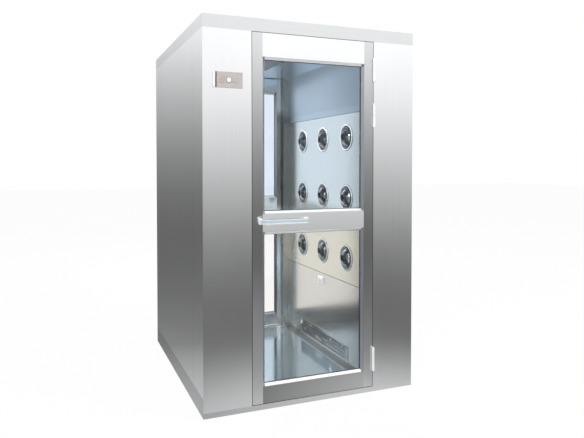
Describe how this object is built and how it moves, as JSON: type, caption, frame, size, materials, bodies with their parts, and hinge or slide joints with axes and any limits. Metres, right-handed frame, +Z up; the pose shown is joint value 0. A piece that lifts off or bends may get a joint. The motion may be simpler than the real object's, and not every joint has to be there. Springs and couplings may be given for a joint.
{
  "type": "air shower",
  "caption": "Walk-through stainless air shower cabin with glazed swing doors at both ends, tilting air nozzles on both walls, return grilles and blower cabinets at the sides.",
  "frame": {"origin": "on the floor under the middle of the cabinet, halfway between the two door faces", "axes": "+X to the right along the front, +Y from the front door to the rear door, +Z up"},
  "size_m": [1.3, 1.62, 2.15],
  "materials": {
    "armature_steel": "plated",
    "base_stainless": "satin brush",
    "bead_aluminium": "satin anodised",
    "brushed_stainless": "vertical satin brush",
    "control_plate": null,
    "filter_media": "pleated white media",
    "floor_stainless": "fine satin, reflective",
    "galvanised_sheet": "galvanised",
    "hinge_steel": "satin",
    "impeller_aluminium": "sheet",
    "lamp_diffuser": "opal",
    "magnet_case": "anodised",
    "motor_paint": "dark grey paint",
    "polished_handle": "polished",
    "polished_nozzle": "mirror polish",
    "red_button": "moulded",
    "seal_rubber": "matt",
    "toughened_glass": "clear, slightly blue",
    "white_button": "gloss",
    "white_sensor": "moulded",
    "yellow_box": "moulded"
  },
  "bodies": {
    "cabinet": {"base_frame": "base_stainless", "blower_decks": "galvanised_sheet", "blower_housings": "galvanised_sheet", "blower_motors": "motor_paint", "ceiling_light": "lamp_diffuser", "ceiling_panel": "brushed_stainless", "control_box": "galvanised_sheet", "control_plate": "control_plate", "door_magnets": "magnet_case", "door_seals": "seal_rubber", "emergency_stop_box": "yellow_box", "floor_plate": "floor_stainless", "front_panel_left": "brushed_stainless", "front_panel_right": "brushed_stainless", "front_surround": "brushed_stainless", "hepa_filters": "filter_media", "hinge_jamb_leaves": "hinge_steel", "hinge_pins": "hinge_steel", "lower_wall_left": "brushed_stainless", "lower_wall_right": "brushed_stainless", "nozzle_panel_left": "brushed_stainless", "nozzle_panel_right": "brushed_stainless", "nozzle_rings_left": "polished_nozzle", "nozzle_rings_right": "polished_nozzle", "prefilters": "filter_media", "presence_sensors": "white_sensor", "rear_panel_left": "brushed_stainless", "rear_panel_right": "brushed_stainless", "rear_surround": "brushed_stainless", "return_grille_left": "brushed_stainless", "return_grille_right": "brushed_stainless", "roof_cover": "brushed_stainless", "side_panel_left": "brushed_stainless", "side_panel_right": "brushed_stainless", "upper_wall_left": "brushed_stainless", "upper_wall_right": "brushed_stainless"},
    "front_door": {"front_door_leaf": "brushed_stainless", "front_lower_glass": "toughened_glass", "front_upper_glass": "toughened_glass", "front_glazing_beads": "bead_aluminium", "front_pull_handle": "polished_handle", "front_armature": "armature_steel", "front_hinge_door_leaves": "hinge_steel"},
    "rear_door": {"rear_door_leaf": "brushed_stainless", "rear_lower_glass": "toughened_glass", "rear_upper_glass": "toughened_glass", "rear_glazing_beads": "bead_aluminium", "rear_pull_handle": "polished_handle", "rear_armature": "armature_steel", "rear_hinge_door_leaves": "hinge_steel"},
    "nozzle_row_bottom_left": {"nozzle_balls_bottom_left": "polished_nozzle"},
    "nozzle_row_middle_left": {"nozzle_balls_middle_left": "polished_nozzle"},
    "nozzle_row_top_left": {"nozzle_balls_top_left": "polished_nozzle"},
    "fan_wheel_left": {"impeller_left": "impeller_aluminium"},
    "nozzle_row_bottom_right": {"nozzle_balls_bottom_right": "polished_nozzle"},
    "nozzle_row_middle_right": {"nozzle_balls_middle_right": "polished_nozzle"},
    "nozzle_row_top_right": {"nozzle_balls_top_right": "polished_nozzle"},
    "fan_wheel_right": {"impeller_right": "impeller_aluminium"},
    "start_push": {"start_button": "white_button"},
    "stop_push": {"emergency_stop_button": "red_button"}
  },
  "joints": [
    {"name": "front_door_hinge", "type": "hinge", "parent": "cabinet", "child": "front_door", "pos_m": [0.3765, -0.7585, 1.05], "axis": [0, 0, 1], "range_deg": [0, 110]},
    {"name": "rear_door_hinge", "type": "hinge", "parent": "cabinet", "child": "rear_door", "pos_m": [0.3765, 0.7585, 1.05], "axis": [0, 0, -1], "range_deg": [0, 110]},
    {"name": "nozzle_tilt_bottom_left", "type": "hinge", "parent": "cabinet", "child": "nozzle_row_bottom_left", "pos_m": [-0.436, 0, 0.742], "axis": [0, 1, 0], "range_deg": [-25, 25]},
    {"name": "nozzle_tilt_middle_left", "type": "hinge", "parent": "cabinet", "child": "nozzle_row_middle_left", "pos_m": [-0.436, 0, 1.138], "axis": [0, 1, 0], "range_deg": [-25, 25]},
    {"name": "nozzle_tilt_top_left", "type": "hinge", "parent": "cabinet", "child": "nozzle_row_top_left", "pos_m": [-0.436, 0, 1.534], "axis": [0, 1, 0], "range_deg": [-25, 25]},
    {"name": "fan_spin_left", "type": "hinge", "parent": "cabinet", "child": "fan_wheel_left", "pos_m": [-0.525, 0, 0.34], "axis": [0, 1, 0], "continuous": true},
    {"name": "nozzle_tilt_bottom_right", "type": "hinge", "parent": "cabinet", "child": "nozzle_row_bottom_right", "pos_m": [0.436, 0, 0.742], "axis": [0, 1, 0], "range_deg": [-25, 25]},
    {"name": "nozzle_tilt_middle_right", "type": "hinge", "parent": "cabinet", "child": "nozzle_row_middle_right", "pos_m": [0.436, 0, 1.138], "axis": [0, 1, 0], "range_deg": [-25, 25]},
    {"name": "nozzle_tilt_top_right", "type": "hinge", "parent": "cabinet", "child": "nozzle_row_top_right", "pos_m": [0.436, 0, 1.534], "axis": [0, 1, 0], "range_deg": [-25, 25]},
    {"name": "fan_spin_right", "type": "hinge", "parent": "cabinet", "child": "fan_wheel_right", "pos_m": [0.525, 0, 0.34], "axis": [0, 1, 0], "continuous": true},
    {"name": "start_button_press", "type": "slide", "parent": "cabinet", "child": "start_push", "axis": [0, 1, 0], "range_m": [0, 0.004], "stiffness_N_per_m": 400},
    {"name": "emergency_stop_press", "type": "slide", "parent": "cabinet", "child": "stop_push", "axis": [-1, 0, 0], "range_m": [0, 0.005], "stiffness_N_per_m": 1200}
  ]
}
